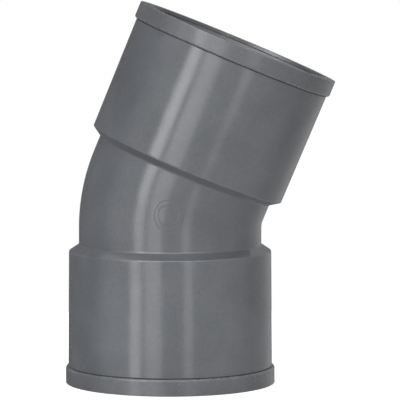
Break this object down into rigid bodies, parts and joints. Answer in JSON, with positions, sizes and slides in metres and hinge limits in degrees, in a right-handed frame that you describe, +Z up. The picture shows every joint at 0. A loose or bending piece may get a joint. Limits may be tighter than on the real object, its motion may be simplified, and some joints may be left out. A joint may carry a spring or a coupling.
{
  "type": "pvc elbow fitting",
  "caption": "Grey PVC pipe elbow turning 22.5 degrees, with a deep socket, a clip-on retaining collar and a lip gasket at each end.",
  "frame": {"origin": "on the surface that the lower mouth stands on, under the middle of the whole fitting's box", "axes": "+Z up along the lower socket's axis, out of the pipe it holds; the upper socket leans 22.5 degrees towards +X; the fitting is symmetric about the plane Y = 0"},
  "size_m": [0.093, 0.0724, 0.1317],
  "materials": {
    "body_pvc": "moulded satin grey",
    "collar_pvc": "moulded satin grey",
    "gasket_rubber": "satin moulded grey elastomer",
    "ring_plastic": "matt moulded"
  },
  "bodies": {
    "fitting": {"elbow_body": "body_pvc", "lower_lip_gasket": "gasket_rubber", "upper_lip_gasket": "gasket_rubber", "lower_gasket_support_ring": "ring_plastic", "upper_gasket_support_ring": "ring_plastic"},
    "lower_collar": {"lower_retaining_collar": "collar_pvc"},
    "upper_collar": {"upper_retaining_collar": "collar_pvc"}
  },
  "joints": [
    {"name": "lower_collar_turn", "type": "hinge", "parent": "fitting", "child": "lower_collar", "pos_m": [-0.01032, 0, 0], "axis": [0, 0, 1], "continuous": true},
    {"name": "upper_collar_turn", "type": "hinge", "parent": "fitting", "child": "upper_collar", "pos_m": [0.01314, 0, 0.11795], "axis": [0.3827, 0, 0.9239], "continuous": true}
  ]
}
